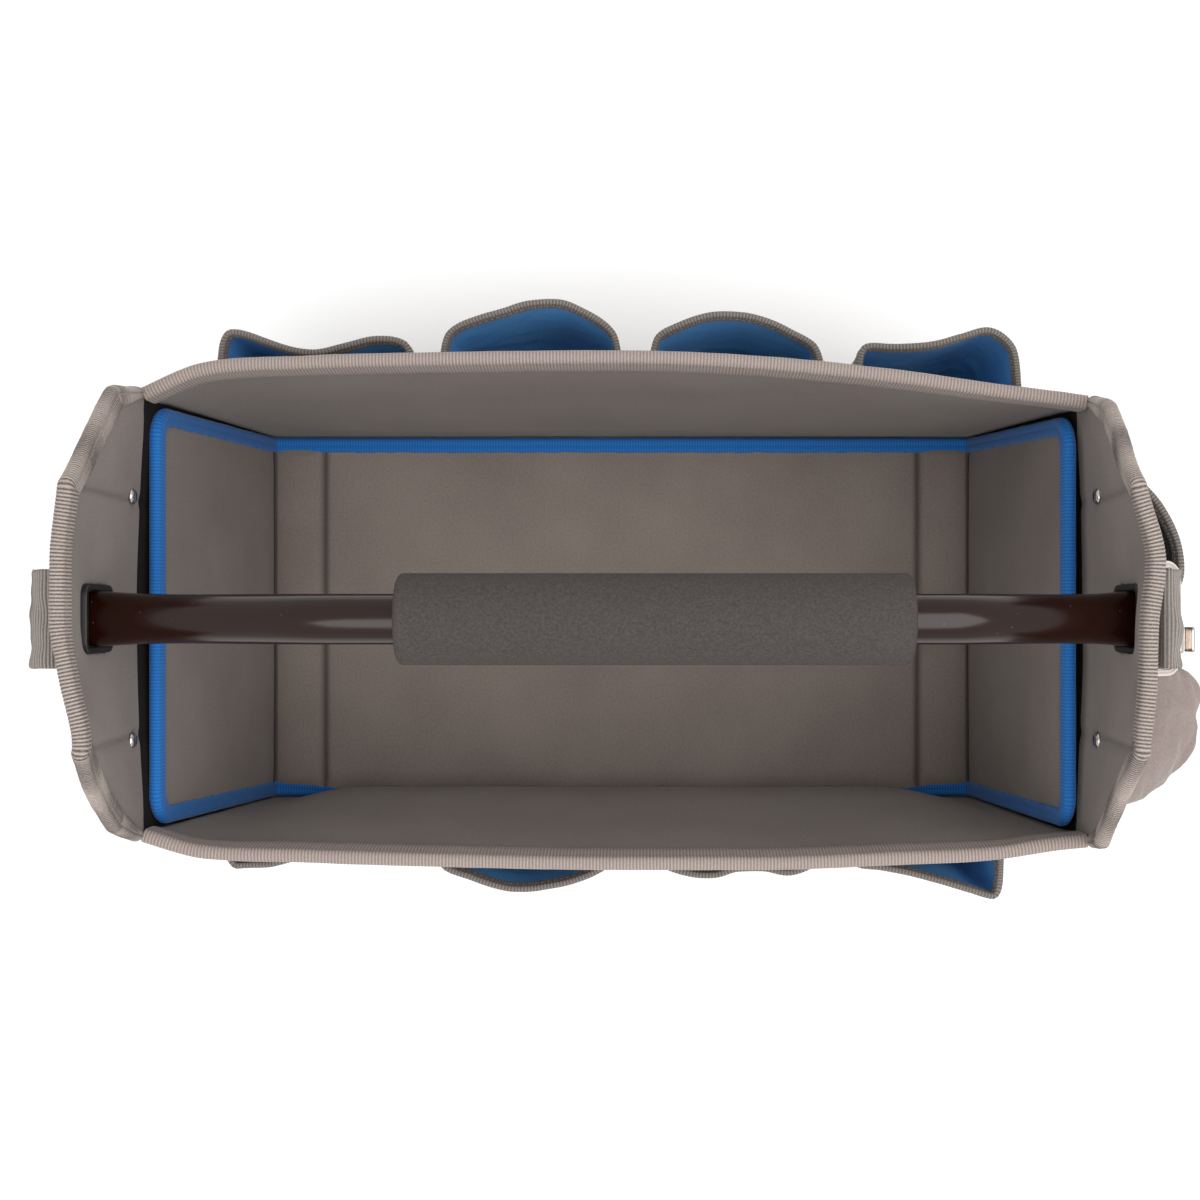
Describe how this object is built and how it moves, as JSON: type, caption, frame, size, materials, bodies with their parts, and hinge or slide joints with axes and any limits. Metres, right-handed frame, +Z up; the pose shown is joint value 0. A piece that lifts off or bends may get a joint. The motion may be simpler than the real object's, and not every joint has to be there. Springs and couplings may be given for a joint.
{
  "type": "open top tool tote",
  "caption": "Rectangular open-topped padded cloth tool bag with taller end walls, a raised steel tube handle with a foam grip, and open cloth pockets along its long sides and one end",
  "frame": {"origin": "middle of the flat base, on the ground that the tote stands on", "axes": "+X along the length, toward the end with the ring and the pouch; +Y to the back; +Z up"},
  "size_m": [0.6281, 0.3508, 0.3825],
  "materials": {
    "cloth": "matte",
    "binding": "matte",
    "blue_binding": "matte",
    "pale_cloth": "matte",
    "foam": "matte",
    "enamel": "gloss",
    "plastic": "satin",
    "nickel": "gloss"
  },
  "bodies": {
    "root": {"base_panel": "cloth", "back_wall": "cloth", "front_wall": "cloth", "back_rim_binding": "binding", "front_rim_binding": "binding", "left_end_wall": "cloth", "left_end_binding": "binding", "back_left_corner_binding": "binding", "front_left_corner_binding": "binding", "right_end_wall": "cloth", "right_end_binding": "binding", "back_right_corner_binding": "binding", "front_right_corner_binding": "binding", "liner": "cloth", "liner_binding": "blue_binding", "handle_tube": "enamel", "handle_grip": "foam", "left_slot_frame": "plastic", "back_left_rivet": "nickel", "front_left_rivet": "nickel", "right_slot_frame": "plastic", "back_right_rivet": "nickel", "front_right_rivet": "nickel", "back_pocket_1": "cloth", "back_pocket_1_lip": "binding", "back_pocket_2": "cloth", "back_pocket_2_lip": "binding", "back_pocket_3": "cloth", "back_pocket_3_lip": "binding", "back_pocket_4": "cloth", "back_pocket_4_lip": "binding", "front_pocket_1": "cloth", "front_pocket_1_lip": "binding", "front_pocket_2": "cloth", "front_pocket_2_lip": "binding", "front_pocket_3": "cloth", "front_pocket_3_lip": "binding", "front_pocket_4": "cloth", "front_pocket_4_lip": "binding", "right_end_pocket": "cloth", "right_end_pocket_lip": "binding", "right_end_pouch": "pale_cloth", "right_end_pouch_lip": "binding", "right_end_flap": "pale_cloth", "left_web_loop": "binding", "right_web_loop": "binding", "right_ring": "nickel", "right_hook": "nickel"}
  },
  "joints": []
}
